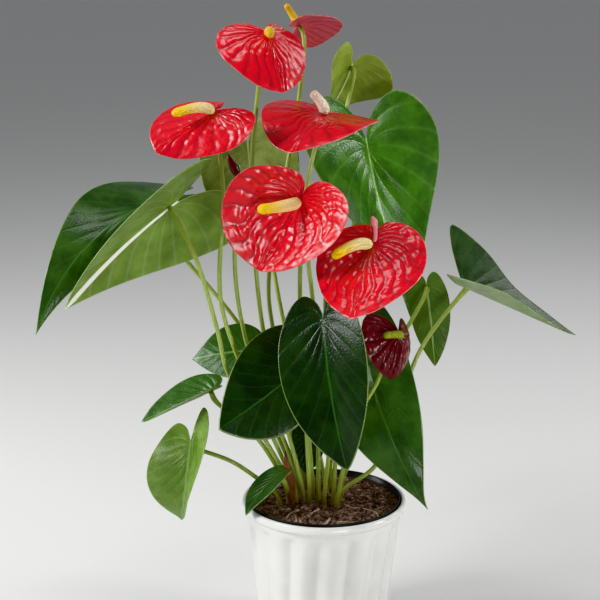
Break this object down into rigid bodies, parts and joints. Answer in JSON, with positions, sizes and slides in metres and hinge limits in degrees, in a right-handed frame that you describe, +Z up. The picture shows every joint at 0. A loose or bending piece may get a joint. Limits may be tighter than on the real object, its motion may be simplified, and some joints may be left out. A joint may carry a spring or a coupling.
{
  "type": "potted anthurium",
  "caption": "Potted flamingo flower with glossy heart-shaped leaves and red blooms on tall stalks, in a white fluted cover pot.",
  "frame": {"origin": "middle of the cover pot's flat underside, where it stands", "axes": "+Z up along the pot's own axis; the side that most of the open blooms look to is -Y; +X is to the right of someone who looks at that side"},
  "size_m": [0.4858, 0.3002, 0.5741],
  "materials": {
    "pot_glaze": "gloss white glaze",
    "grower_plastic": "satin black",
    "peat": "matte, crumbly and fibrous",
    "leaf_blade": "gloss, living leaf",
    "stalk": "satin, living stem",
    "spathe": "gloss, quilted red",
    "spadix": "matte, finely beaded",
    "faded_spathe": "gloss maroon",
    "faded_spadix": "matte olive"
  },
  "bodies": {
    "root": {"leaf_left_front": "leaf_blade", "leaf_left_front_stalk": "stalk", "leaf_left_back": "leaf_blade", "leaf_left_back_stalk": "stalk", "leaf_back": "leaf_blade", "leaf_back_stalk": "stalk", "leaf_right_upper": "leaf_blade", "leaf_right_upper_stalk": "stalk", "leaf_top_back": "leaf_blade", "leaf_top_back_stalk": "stalk", "leaf_centre": "leaf_blade", "leaf_centre_stalk": "stalk", "leaf_centre_left": "leaf_blade", "leaf_centre_left_stalk": "stalk", "leaf_right_lower": "leaf_blade", "leaf_right_lower_stalk": "stalk", "leaf_right_small": "leaf_blade", "leaf_right_small_stalk": "stalk", "leaf_far_right": "leaf_blade", "leaf_far_right_stalk": "stalk", "leaf_left_small": "leaf_blade", "leaf_left_small_stalk": "stalk", "leaf_left_lower": "leaf_blade", "leaf_left_lower_stalk": "stalk", "leaf_left_inner": "leaf_blade", "leaf_left_inner_stalk": "stalk", "leaf_rim": "leaf_blade", "leaf_rim_stalk": "stalk", "leaf_inner_low": "leaf_blade", "leaf_inner_low_stalk": "stalk", "bloom_top_left_spathe": "spathe", "bloom_top_left_spadix": "spadix", "bloom_top_left_stalk": "stalk", "bloom_top_right_spathe": "spathe", "bloom_top_right_spadix": "spadix", "bloom_top_right_stalk": "stalk", "bloom_left_spathe": "spathe", "bloom_left_spadix": "spadix", "bloom_left_stalk": "stalk", "bloom_front_spathe": "spathe", "bloom_front_spadix": "spadix", "bloom_front_stalk": "stalk", "bloom_right_spathe": "spathe", "bloom_right_spadix": "spadix", "bloom_right_stalk": "stalk", "bloom_middle_spathe": "spathe", "bloom_middle_spadix": "spadix", "bloom_middle_stalk": "stalk", "bloom_small_spathe": "faded_spathe", "bloom_small_spadix": "faded_spadix", "bloom_small_stalk": "stalk", "bud_furled": "faded_spathe", "bud_stalk": "stalk", "cover_pot": "pot_glaze", "grower_pot": "grower_plastic", "potting_mix": "peat"}
  },
  "joints": []
}
